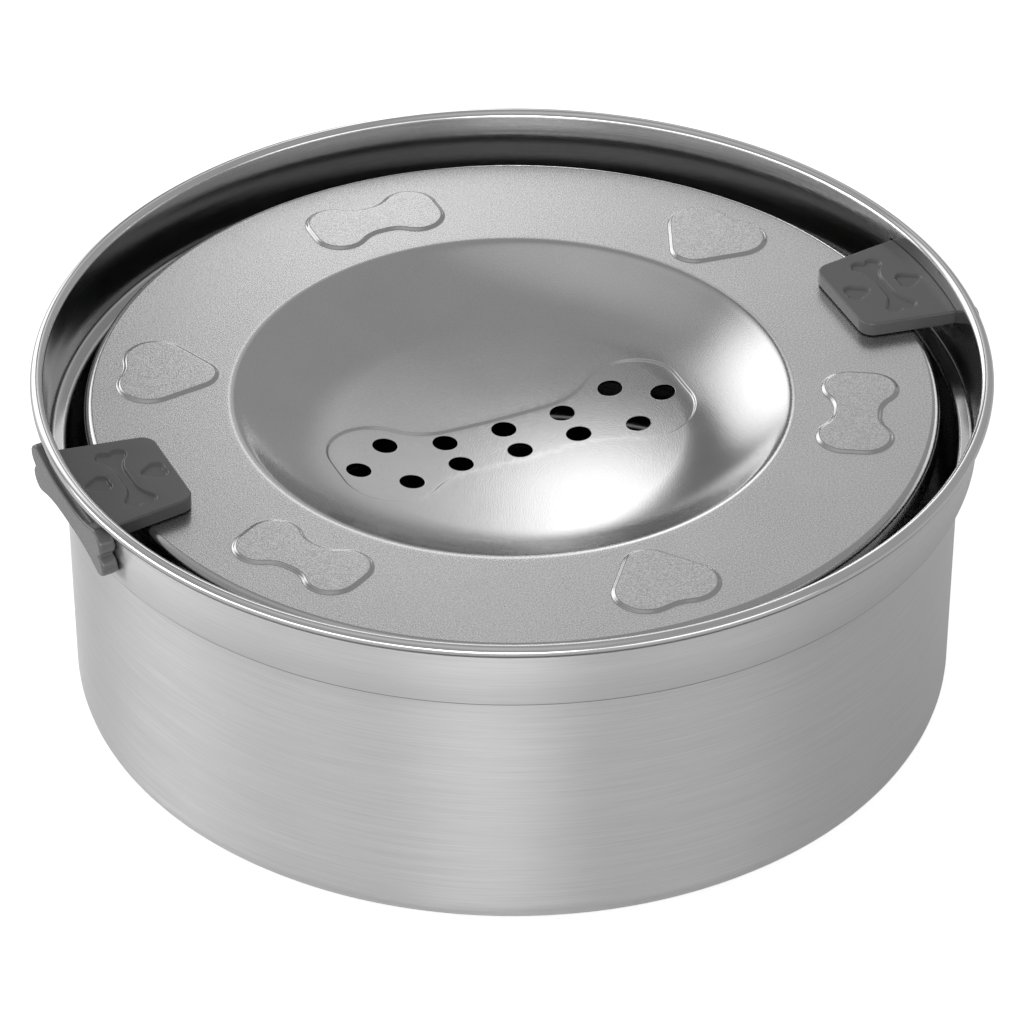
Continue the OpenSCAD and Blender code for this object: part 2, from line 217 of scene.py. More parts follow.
def arc(centre, radius, start, end, step=6):
    """Points on an arc between two angles in degrees."""
    turns = np.radians(np.linspace(start, end, max(2, math.ceil(abs(end - start) / step)) + 1))
    return np.array(centre) + radius * np.column_stack([np.cos(turns), np.sin(turns)])


def circle(radius, count, centre=(0, 0)):
    """Points on a whole circle, the first one not repeated."""
    return arc(centre, radius, 0, 360, 360 / count)[:-1]


def rounded(corners, closed=False, step=10):
    """A path through (x, y, radius) corners, each rounded by its radius."""
    count = len(corners)
    spots = [np.array(c[:2], float) for c in corners]
    out = []
    for k, (x, y, radius) in enumerate(corners):
        here = spots[k]
        if radius <= 0 or (not closed and k in (0, count - 1)):
            out.append(here[None])
            continue
        a, b = unit(spots[k - 1] - here), unit(spots[(k + 1) % count] - here)
        half = math.acos(np.clip(a @ b, -1, 1)) / 2
        centre = here + unit(a + b) * radius / math.sin(half)
        first = here + a * radius / math.tan(half) - centre
        last = here + b * radius / math.tan(half) - centre
        start = math.degrees(math.atan2(first[1], first[0]))
        turn = (math.degrees(math.atan2(last[1], last[0])) - start + 180) % 360 - 180
        out.append(arc(centre, radius, start, start + turn, step))
    return np.vstack(out)


def resampled(loop, step):
    """The closed loop with points at even distances."""
    ends = np.vstack([loop, loop[:1]])
    run = np.concatenate([[0], np.cumsum(np.linalg.norm(np.diff(ends, axis=0), axis=1))])
    spots = np.linspace(0, run[-1], max(8, round(run[-1] / step)), endpoint=False)
    return np.column_stack([np.interp(spots, run, ends[:, 0]), np.interp(spots, run, ends[:, 1])])


def softened(loop, passes):
    """The closed loop with its corners eased."""
    for _ in range(passes):
        loop = (np.roll(loop, 1, axis=0) + 2 * loop + np.roll(loop, -1, axis=0)) / 4
    return loop


def moved_in(loop, distance):
    """The closed counter-clockwise loop moved inwards."""
    along = np.roll(loop, -1, axis=0) - np.roll(loop, 1, axis=0)
    along /= np.linalg.norm(along, axis=1)[:, None]
    return loop + distance * np.column_stack([-along[:, 1], along[:, 0]])


def placed(loop, spot, turn=0):
    """The loop turned by an angle in degrees and moved to a spot."""
    c, s = math.cos(math.radians(turn)), math.sin(math.radians(turn))
    return loop @ np.array([[c, s], [-s, c]]) + np.array(spot)


def bone(long, wide, waist, flat, lobe_r, start, step):
    """Outline of a bone: its quarter runs from an angle on a lobe to the straight part of the waist."""
    lobe = np.array([long / 2 - lobe_r, wide / 2 - lobe_r])
    run, rise = lobe[0] - flat, waist / 2 - lobe[1]
    bend_r = (run * run + rise * rise - lobe_r * lobe_r) / (2 * (lobe_r - rise))
    bend = np.array([flat, waist / 2 + bend_r])
    touch = math.degrees(math.atan2(bend[1] - lobe[1], bend[0] - lobe[0]))
    corner = np.vstack([arc(lobe, lobe_r, start, touch), arc(bend, bend_r, touch - 180, -90)])
    half = np.vstack([corner, corner[::-1] * [-1, 1]])
    return resampled(np.vstack([half, -half]), step)


def smooth_bone(long, wide, waist, flat):
    """Outline of a bone with blunt ends."""
    share = 0.37
    return bone(long, wide, waist, flat, share * wide, 0, OUTLINE_STEP)


def knuckle_bone(long, wide, waist, flat, step, passes):
    """Outline of a bone with two knuckles at each end."""
    share = 0.26
    notch = math.degrees(math.asin((share - 0.5) / share))
    return softened(bone(long, wide, waist, flat, share * wide, notch, step), passes)


def heart(wide, long, step):
    """Outline of a heart with a shallow notch, its tip towards -X."""
    lobe_r, tip_r, notch_r = 0.3 * wide, 0.23 * wide, 0.43 * wide
    lobe = np.array([long / 2 - lobe_r, wide / 2 - lobe_r])
    tip = np.array([tip_r - long / 2, 0])
    notch = np.array([lobe[0] + math.sqrt((lobe_r + notch_r) ** 2 - lobe[1] ** 2), 0])
    side = lobe - tip
    lean = math.degrees(math.atan2(side[1], side[0]) + math.acos((tip_r - lobe_r) / np.linalg.norm(side)))
    touch = math.degrees(math.atan2(notch[1] - lobe[1], notch[0] - lobe[0]))
    upper = np.vstack([arc(tip, tip_r, 180, lean), arc(lobe, lobe_r, lean, touch),
                       arc(notch, notch_r, touch + 180, 180)])
    return resampled(np.vstack([upper * [1, -1], upper[::-1]]), step)


def depth_in(spots, loop, reach=3.0):
    """Distance of each spot inside the closed loop, negative outside and cut off at -reach."""
    out = np.full(len(spots), -reach)
    low, high = loop.min(0) - reach, loop.max(0) + reach
    near = np.flatnonzero(np.all((spots > low) & (spots < high), axis=1))
    a, b = loop, np.roll(loop, -1, axis=0)
    ab = b - a
    size = (ab * ab).sum(1)
    for some in np.array_split(near, max(1, len(near) // 2000)):
        if not len(some):
            continue
        p = spots[some]
        ap = p[:, None] - a[None]
        t = np.clip((ap * ab).sum(2) / size, 0, 1)
        gap = np.sqrt(((ap - t[..., None] * ab) ** 2).sum(2).min(1))
        crossed = (a[:, 1] > p[:, 1:]) != (b[:, 1] > p[:, 1:])
        rise = np.where(ab[:, 1] == 0, 1, ab[:, 1])
        left = p[:, :1] < a[:, 0] + ab[:, 0] * (p[:, 1:] - a[:, 1]) / rise
        inside = (crossed & left).sum(1) % 2 == 1
        out[some] = np.maximum(np.where(inside, gap, -gap), -reach)
    return out


def ramp(depth, width, start, ends):
    """Rise from 0 to 1 over a width, with a share of it rounded at each end."""
    t = np.clip((depth - start) / width, 0, 1)
    bend = 2 * ends * (1 - ends)
    middle = (t - ends / 2) / (1 - ends)
    return np.where(t < ends, t * t / bend, np.where(t > 1 - ends, 1 - (1 - t) ** 2 / bend, middle))


def slope_loops(loop, width, start, ends):
    """The loop moved in to the places where a ramp over its edge bends."""
    return [moved_in(loop, start + width * t) for t in (0, ends / 2, ends, 0.5, 1 - ends, 1 - ends / 2, 1)]


def triangles(spots, loops):
    """Flat triangles over all spots, with the loops as edges."""
    points, edges = [tuple(p) for p in spots], []
    for loop in loops:
        first, count = len(points), len(loop)
        points += [tuple(p) for p in loop]
        edges += [(first + k, first + (k + 1) % count) for k in range(count)]
    flat, _, faces, _, _, _ = delaunay_2d_cdt([Vector(p) for p in points], edges, [], 0, 1e-4)
    return np.array([(p.x, p.y) for p in flat]), np.array(faces)


def border_edges(faces):
    """Edges used by one face, in that face's order."""
    count = {}
    for face in faces:
        for a, b in zip(face, np.roll(face, -1)):
            key = (min(a, b), max(a, b))
            count[key] = None if key in count else (int(a), int(b))
    return [edge for edge in count.values() if edge]


def turned(profile, turns, closed=False, skip=()):
    """Vertices, faces and index rows of a profile of (radius, height) turned around the axis."""
    count, rows, verts, faces = len(turns), [], [], []
    for r, z in profile:
        if r < 1e-6:
            rows.append([len(verts)] * count)
            verts.append((0, 0, z))
        else:
            rows.append(list(range(len(verts), len(verts) + count)))
            verts += [(r * c, r * s, z) for c, s in zip(np.cos(turns), np.sin(turns))]
    for k in range(len(profile) - (0 if closed else 1)):
        low, high = rows[k], rows[(k + 1) % len(profile)]
        for j in range(count):
            if (k, j) in skip:
                continue
            n = (j + 1) % count
            faces.append(list(dict.fromkeys([low[j], low[n], high[n], high[j]])))
    return verts, faces, rows


def new_piece(name, verts, faces, materials, body, node, normals=None, sharp=40, picks=None):
    """A mesh piece that rides on a body and stands for a node of the frame."""
    mesh = bpy.data.meshes.new(name)
    mesh.from_pydata((np.array(verts, float) * MM).tolist(), [], [list(map(int, f)) for f in faces])
    for material in materials:
        mesh.materials.append(material)
    if picks is not None:
        mesh.polygons.foreach_set("material_index", picks)
    mesh.shade_smooth()
    if normals is None:
        mesh.set_sharp_from_angle(angle=math.radians(sharp))
    else:
        mesh.normals_split_custom_set_from_vertices(np.array(normals, float).tolist())
    if mesh.validate(verbose=False):
        raise RuntimeError(f"{name}: the mesh had faulty faces")
    piece = bpy.data.objects.new(name, mesh)
    bpy.context.scene.collection.objects.link(piece)
    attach(piece, body)
    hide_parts(node)
    return piece


def node_in(tree, kind, **values):
    """A new node with its attributes, and its inputs as numbers or as sockets to link."""
    node = tree.nodes.new(kind)
    for key, value in values.items():
        if hasattr(node, key) and key != "inputs":
            setattr(node, key, value)
    for key, value in values.get("inputs", {}).items():
        if isinstance(value, bpy.types.NodeSocket):
            tree.links.new(value, node.inputs[key])
        else:
            node.inputs[key].default_value = value
    return node


def maths(tree, operation, a, b=0.0, c=0.0):
    node = node_in(tree, "ShaderNodeMath", operation=operation, inputs={0: a, 1: b, 2: c})
    return node.outputs[0]


def noise_in(tree, vector, scale, detail, roughness):
    """Level of a noise between 0 and 1."""
    inputs = {"Vector": vector, "Scale": scale, "Detail": detail, "Roughness": roughness}
    return node_in(tree, "ShaderNodeTexNoise", inputs=inputs).outputs["Fac"]


def ranged(tree, value, low, high, first, last):
    """The value moved from one range to another."""
    node = node_in(tree, "ShaderNodeMapRange", inputs={0: value, 1: low, 2: high, 3: first, 4: last})
    return node.outputs[0]


def new_group(name, inputs, outputs):
    """A shader group with float or vector inputs and float outputs."""
    group = bpy.data.node_groups.new(name, "ShaderNodeTree")
    for label, kind, value in inputs:
        socket = group.interface.new_socket(label, in_out="INPUT", socket_type=kind)
        if value is not None:
            socket.default_value = value
    for label in outputs:
        group.interface.new_socket(label, in_out="OUTPUT", socket_type="NodeSocketFloat")
    return group, group.nodes.new("NodeGroupInput"), group.nodes.new("NodeGroupOutput")


# How the broad streaks and the cloud stretch the fine pattern
BROAD_SHARES = (0.3, 0.3, 0.12)
CLOUD_SHARE = 0.02
# Levels between which a noise mostly lies
NOISE_RANGE = (0.3, 0.7)
# Facings and heights in metres between which painted shade darkens faces turned down above a height and the
# inside of the bowl in its depth
FOLD_FACING = (-0.3, -0.05)
FOLD_FROM = 0.07
DEEP_HEIGHTS = (0.06, 0.076)


def streak_group():
    """Fine lines that run around the axis: long along the turn, thin along the height."""
    name = "Turned streaks"
    if name in bpy.data.node_groups:
        return bpy.data.node_groups[name]
    sockets = [("Vector", "NodeSocketVector", None), ("Along", "NodeSocketFloat", 40.0),
               ("Across", "NodeSocketFloat", 3200.0)]
    group, given, made = new_group(name, sockets, ["Fine", "Broad"])
    split = node_in(group, "ShaderNodeSeparateXYZ", inputs={0: given.outputs["Vector"]})
    x = maths(group, "MULTIPLY", split.outputs[0], given.outputs["Along"])
    y = maths(group, "MULTIPLY", split.outputs[1], given.outputs["Along"])
    z = maths(group, "MULTIPLY", split.outputs[2], given.outputs["Across"])
    fine = node_in(group, "ShaderNodeCombineXYZ", inputs={0: x, 1: y, 2: z})
    shares = zip((x, y, z), BROAD_SHARES)
    wide = [maths(group, "MULTIPLY", value, share) for value, share in shares]
    broad = node_in(group, "ShaderNodeCombineXYZ", inputs=dict(enumerate(wide)))
    group.links.new(noise_in(group, fine.outputs[0], 1.0, 3.0, 0.65), made.inputs["Fine"])
    group.links.new(noise_in(group, broad.outputs[0], 1.0, 2.0, 0.5), made.inputs["Broad"])
    return group


def grain_group():
    """Grains of blasted steel or moulded plastic, with a slower cloud."""
    name = "Blasted grain"
    if name in bpy.data.node_groups:
        return bpy.data.node_groups[name]
    sockets = [("Vector", "NodeSocketVector", None), ("Scale", "NodeSocketFloat", 2600.0)]
    group, given, made = new_group(name, sockets, ["Grain", "Cloud"])
    vector, scale = given.outputs["Vector"], given.outputs["Scale"]
    wide = maths(group, "MULTIPLY", scale, CLOUD_SHARE)
    group.links.new(noise_in(group, vector, scale, 2.0, 0.6), made.inputs["Grain"])
    group.links.new(noise_in(group, vector, wide, 3.0, 0.5), made.inputs["Cloud"])
    return group


def fold_group():
    """Painted shade of the folds that face down above a height and of the depths below another one,
    multiplied into the base colour: 1 in the open.
    """
    name = "Fold shade"
    if name in bpy.data.node_groups:
        return bpy.data.node_groups[name]
    sockets = [("Vector", "NodeSocketVector", None), ("Normal", "NodeSocketVector", None),
               ("Fold", "NodeSocketFloat", 1.0), ("Deep", "NodeSocketFloat", 1.0)]
    group, given, made = new_group(name, sockets, ["Shade"])
    height = node_in(group, "ShaderNodeSeparateXYZ", inputs={0: given.outputs["Vector"]}).outputs[2]
    face = node_in(group, "ShaderNodeSeparateXYZ", inputs={0: given.outputs["Normal"]}).outputs[2]
    facing = ranged(group, face, *FOLD_FACING, given.outputs["Fold"], 1.0)
    fold = maths(group, "MAXIMUM", facing, maths(group, "LESS_THAN", height, FOLD_FROM))
    deep = ranged(group, height, *DEEP_HEIGHTS, given.outputs["Deep"], 1.0)
    group.links.new(maths(group, "MULTIPLY", fold, deep), made.inputs["Shade"])
    return group


def finish_material(name, group, settings, tones, rough, bump, metallic, anisotropy=0.0,
                    specular=0.5, slow_share=0.35, shade=None):
    """A material whose tone, roughness and bump follow a group's fine and slow outputs."""
    material = bpy.data.materials.new(name)
    material.use_nodes = True
    tree = material.node_tree
    shader = tree.nodes["Principled BSDF"]
    coords = node_in(tree, "ShaderNodeTexCoord")
    effect = node_in(tree, "ShaderNodeGroup")
    effect.node_tree = group
    tree.links.new(coords.outputs["Object"], effect.inputs["Vector"])
    for key, value in settings.items():
        effect.inputs[key].default_value = value
    fine, slow = effect.outputs[0], effect.outputs[1]
    mixed = maths(tree, "MULTIPLY_ADD", slow, slow_share, maths(tree, "MULTIPLY", fine, 1 - slow_share))
    level = ranged(tree, mixed, *NOISE_RANGE, *tones)
    # Painted shade: the fold group darkens the base colour of faces turned down and of the bowl's depth
    if shade:
        fold = node_in(tree, "ShaderNodeGroup")
        fold.node_tree = fold_group()
        tree.links.new(coords.outputs["Object"], fold.inputs["Vector"])
        tree.links.new(coords.outputs["Normal"], fold.inputs["Normal"])
        for key, value in shade.items():
            fold.inputs[key].default_value = value
        level = maths(tree, "MULTIPLY", level, fold.outputs["Shade"])
    tone = node_in(tree, "ShaderNodeCombineColor", inputs={0: level, 1: level, 2: level})
    tree.links.new(tone.outputs[0], shader.inputs["Base Color"])
    tree.links.new(ranged(tree, mixed, *NOISE_RANGE, *rough), shader.inputs["Roughness"])
    bumps = node_in(tree, "ShaderNodeBump", inputs={"Strength": bump[0], "Distance": bump[1], "Height": fine})
    tree.links.new(bumps.outputs[0], shader.inputs["Normal"])
    shader.inputs["Metallic"].default_value = metallic
    shader.inputs["Anisotropic"].default_value = anisotropy
    shader.inputs["Specular IOR Level"].default_value = specular
    if anisotropy:
        shader.inputs["Anisotropic Rotation"].default_value = 0.25
        tangent = node_in(tree, "ShaderNodeTangent", direction_type="RADIAL", axis="Z")
        tree.links.new(tangent.outputs[0], shader.inputs["Tangent"])
    return material


def brushed_steel(name, tones):
    """Steel brushed around the axis, on the bowl's wall and band, with painted shade on faces that turn down,
    as under the ledge.
    """
    streaks = {"Along": 40.0, "Across": 3200.0}
    return finish_material(name, streak_group(), streaks, tones, (0.33, 0.40), (0.12, 0.0001), 1.0,
                           anisotropy=0.9, slow_share=0.12, shade={"Fold": 0.3})


def polished_steel():
    """Polished steel of the rolled rim, with painted shade on faces that turn down, as under the bead."""
    streaks = {"Along": 25.0, "Across": 2200.0}
    return finish_material("polished_steel", streak_group(), streaks, (0.62, 0.70), (0.10, 0.18),
                           (0.04, 0.0001), 1.0, anisotropy=0.2, slow_share=0.12, shade={"Fold": 0.3})


def inner_steel():
    """Smooth steel inside the bowl, with painted shade darkening its depth."""
    streaks = {"Along": 25.0, "Across": 2400.0}
    return finish_material("inner_steel", streak_group(), streaks, (0.58, 0.68), (0.13, 0.18),
                           (0.03, 0.0001), 1.0, slow_share=0.12, shade={"Deep": 0.5})


def grain_steel(name, tones, rough, bump, slow_share):
    """Steel with fine grains, on the float's plate."""
    return finish_material(name, grain_group(), {"Scale": 2600.0}, tones, rough, (bump, 0.0002), 1.0,
                           slow_share=slow_share)


def drawn_steel():
    """Plain drawn steel of the float's pan."""
    streaks = {"Along": 60.0, "Across": 1500.0}
    return finish_material("drawn_steel", streak_group(), streaks, (0.52, 0.62), (0.28, 0.40),
                           (0.08, 0.0001), 1.0)


def dark_rubber(name, tones):
    """Dull rubber of the grip ring and the seals."""
    return finish_material(name, grain_group(), {"Scale": 1800.0}, tones, (0.70, 0.85),
                           (0.2, 0.0002), 0.0, specular=0.3)


def dark_plastic():
    """Moulded plastic of the latches."""
    return finish_material("latch_plastic", grain_group(), {"Scale": 3000.0}, (0.104, 0.122),
                           (0.20, 0.27), (0.05, 0.0001), 0.0)


def base_corner(s):
    """Radius at which the flat base runs into its outer corner."""
    wall_in = (s.ledge_z - s.base_z - s.corner_r) * math.tan(s.wall_draft)
    return s.wall_top_r - wall_in - s.corner_r / math.cos(s.wall_draft)


def build_bowl(s):
    """The drawn bowl: rolled rim, band with two slots, ledge, wall and raised base in one sheet."""
    t = s.sheet
    corner_x = base_corner(s)
    kick_r = corner_x - s.land_w
    wall_low = corner_x + s.corner_r / math.cos(s.wall_draft)

    def band(z):
        return s.band_bottom_r + (s.band_top_r - s.band_bottom_r) * (z - s.ledge_z) / (s.rim_z - s.ledge_z)

    bead_x = s.rim_r - s.bead_r
    groove_z = s.rim_z - s.groove_drop
    groove_low = groove_z - s.groove_h
    kick_z = s.base_z + s.kick
    base = rounded([(0, kick_z, 0), (kick_r, kick_z, s.base_bend), (kick_r + s.kick, s.base_z, s.base_bend),
                    (wall_low, s.base_z, s.corner_r), (s.wall_top_r, s.ledge_z, s.wall_bend),
                    (s.band_bottom_r, s.ledge_z, s.ledge_round), (band(s.slot_low), s.slot_low, 0)])
    above = np.array([(band(s.slot_high), s.slot_high), (band(groove_low), groove_low),
                      (band(groove_z) + s.groove_out, groove_z)])
    bead = arc((bead_x, s.rim_z), s.bead_r, -108, 180, 9)
    inner_top = bead_x - s.bead_r
    inner_low = s.band_bottom_r - t

    def inner(z):
        return inner_low + (inner_top - inner_low) * (z - s.ledge_z - t) / (s.rim_z - s.ledge_z - t)

    inside_top = np.array([(inner(s.slot_high), s.slot_high), (inner(s.slot_low), s.slot_low)])
    lean = t / math.cos(s.wall_draft)
    inside = rounded([(inner(s.slot_low), s.slot_low - s.slot_lip, 0),
                      (inner_low, s.ledge_z + t, s.inner_bend),
                      (s.wall_top_r - lean, s.ledge_z + t, s.inner_wall_bend),
                      (wall_low - lean, s.base_z + t, s.corner_r - t),
                      (kick_r + s.kick, s.base_z + t, s.base_bend),
                      (kick_r, kick_z + t, s.base_bend), (0, kick_z + t, 0)])
    profile = np.vstack([base, above, bead, inside_top, inside])
    turns = np.arange(s.steps) * 2 * math.pi / s.steps
    half = math.asin(s.slot_half / band(s.slot_low))
    for middle in (0, math.pi):
        for side in (-half, half):
            gap = (turns - middle - side + math.pi) % (2 * math.pi) - math.pi
            turns[np.argmin(abs(gap))] = (middle + side) % (2 * math.pi)
    low_out = len(base) - 1
    high_in = len(base) + len(above) + len(bead)
    away = np.minimum(abs((turns + math.pi) % (2 * math.pi) - math.pi), abs(turns - math.pi))
    ahead = np.roll(away, -1)
    in_slot = [j for j in range(s.steps) if away[j] < half + 1e-6 and ahead[j] < half + 1e-6]
    skip = {(k, j) for j in in_slot for k in (low_out, high_in)}
    verts, faces, rows = turned(profile, turns, skip=skip)
    for j in in_slot:
        n = (j + 1) % s.steps
        faces.append([rows[low_out][j], rows[low_out][n], rows[high_in + 1][n], rows[high_in + 1][j]])
        faces.append([rows[high_in][j], rows[high_in][n], rows[low_out + 1][n], rows[low_out + 1][j]])
        for edge, flip in ((j, (j - 1) % s.steps not in in_slot), (n, n not in in_slot)):
            if flip:
                wall = [rows[k][edge] for k in (low_out, low_out + 1, high_in, high_in + 1)]
                faces.append(wall if edge == n else wall[::-1])
    ledge = next(k for k, (r, z) in enumerate(profile) if r > s.wall_top_r and z > s.ledge_z - 0.01)
    starts = [rows[k][0] for k in (ledge, len(base) + len(above), high_in - 1)]
    picks = [sum(min(f) >= start for start in starts) for f in faces]
    # The band's copy of the brushed steel has lighter tones: painted light on the outward-leaning band
    steels = [brushed_steel("brushed_steel", (0.62, 0.73)), brushed_steel("band_steel", (0.74, 0.84)),
              polished_steel(), inner_steel()]
    return new_piece("bowl_body", verts, faces, steels, "bowl", "bowl_shell",
                     picks=picks, sharp=35)


def build_grip(s):
    """The grip ring, with fine grooves around its underside."""
    outer = base_corner(s) - s.grip_inset
    inner = outer - s.grip_w
    groove = [(-s.groove_top, 0), (-s.groove_floor, s.groove_depth), (s.groove_floor, s.groove_depth),
              (s.groove_top, 0)]
    path = [(inner, s.base_z, 0), (inner, 0, s.grip_edge)]
    for k in range(s.grooves):
        middle = inner + s.grip_w * (k + 1) / (s.grooves + 1)
        path += [(middle + aside, z, s.groove_bend) for aside, z in groove]
    path += [(outer, 0, s.grip_edge), (outer, s.base_z, 0)]
    turns = np.arange(s.steps) * 2 * math.pi / s.steps
    verts, faces, _ = turned(rounded(path, step=25), turns, closed=True)
    rubber = dark_rubber("grip_rubber", (0.02, 0.03))
    return new_piece("grip_ring", verts, faces, [rubber], "bowl", "base_grip_ring")


MOTIF_START, MOTIF_ENDS = -0.4, 0.45
PANEL_START, PANEL_ENDS = -0.25, 0.35
CREASE_HALF, CREASE_LOOPS = 1.9, 15
# Loops around a drain hole, in shares of its rounding: the last one keeps the shading around it flat
HOLE_STEPS, HOLE_LOOPS = 32, (0, 0.5, 1, 3)


def dish_height(r, s):
    """Height of the dish's skin below the ring, running on upwards past the crease."""
    tilt = math.asin(s.middle_r / s.middle_bend)
    rise = s.middle_bend * (1 - math.cos(tilt))
    chord = math.atan((s.dish_depth - rise) / (s.dish_r - s.middle_r))
    steep = 2 * chord - tilt
    bend = (s.dish_r - s.middle_r) / (math.sin(steep) - math.sin(tilt))
    side_x = (s.middle_bend - bend) * math.sin(tilt)
    side_z = s.middle_bend - (s.middle_bend - bend) * math.cos(tilt)
    middle = s.middle_bend - np.sqrt(s.middle_bend ** 2 - np.minimum(r, s.middle_r) ** 2)
    side = side_z - np.sqrt(bend ** 2 - np.minimum(r - side_x, s.dish_r - side_x) ** 2)
    on = side + np.maximum(r - s.dish_r, 0) * math.tan(steep)
    return np.where(r <= s.middle_r, middle, on) - s.dish_depth


def plate_figures(s):
    """Outlines of the ring's motifs and of the drain panel, and the spots of the holes."""
    motifs = []
    for k in range(6):
        turn = 30 + 60 * k
        spot = s.motif_r * np.array([math.cos(math.radians(turn)), math.sin(math.radians(turn))])
        if k % 2 == 0:
            motifs.append(placed(heart(s.heart_w, s.heart_l, OUTLINE_STEP), spot, turn))
        else:
            outline = smooth_bone(s.bone_l, s.bone_w, s.bone_waist, s.bone_flat)
            motifs.append(placed(outline, spot, turn + 90))
    panel = smooth_bone(s.panel_l, s.panel_w, s.panel_waist, s.panel_flat)
    sides = (-1, 1)
    holes = [(k * s.hole_tip, 0.0) for k in sides]
    holes += [(k * s.hole_lobe, j * s.hole_lobe_y) for k in sides for j in sides]
    holes += [(k * s.hole_waist, j * s.hole_waist_y) for k in (-1, 0, 1) for j in sides]
    return motifs, panel, np.array(holes)


def plate_height(spots, s, motifs, panel, holes):
    """Height of the plate's skin below or above the ring."""
    dish = dish_height(np.hypot(spots[:, 0], spots[:, 1]), s)
    ease = np.maximum(s.crease - abs(dish), 0) / s.crease
    z = np.minimum(dish, 0) - ease ** 3 * s.crease / 6
    for motif in motifs:
        z += s.motif_rise * ramp(depth_in(spots, motif), s.motif_slope, MOTIF_START, MOTIF_ENDS)
    z -= s.panel_recess * ramp(depth_in(spots, panel), s.panel_slope, PANEL_START, PANEL_ENDS)
    gap = np.linalg.norm(spots[:, None] - holes[None], axis=2).min(1) - s.hole_r
    z -= s.hole_roll * np.clip(1 - gap / s.hole_roll, 0, 1) ** 2 * 0.6
    return z


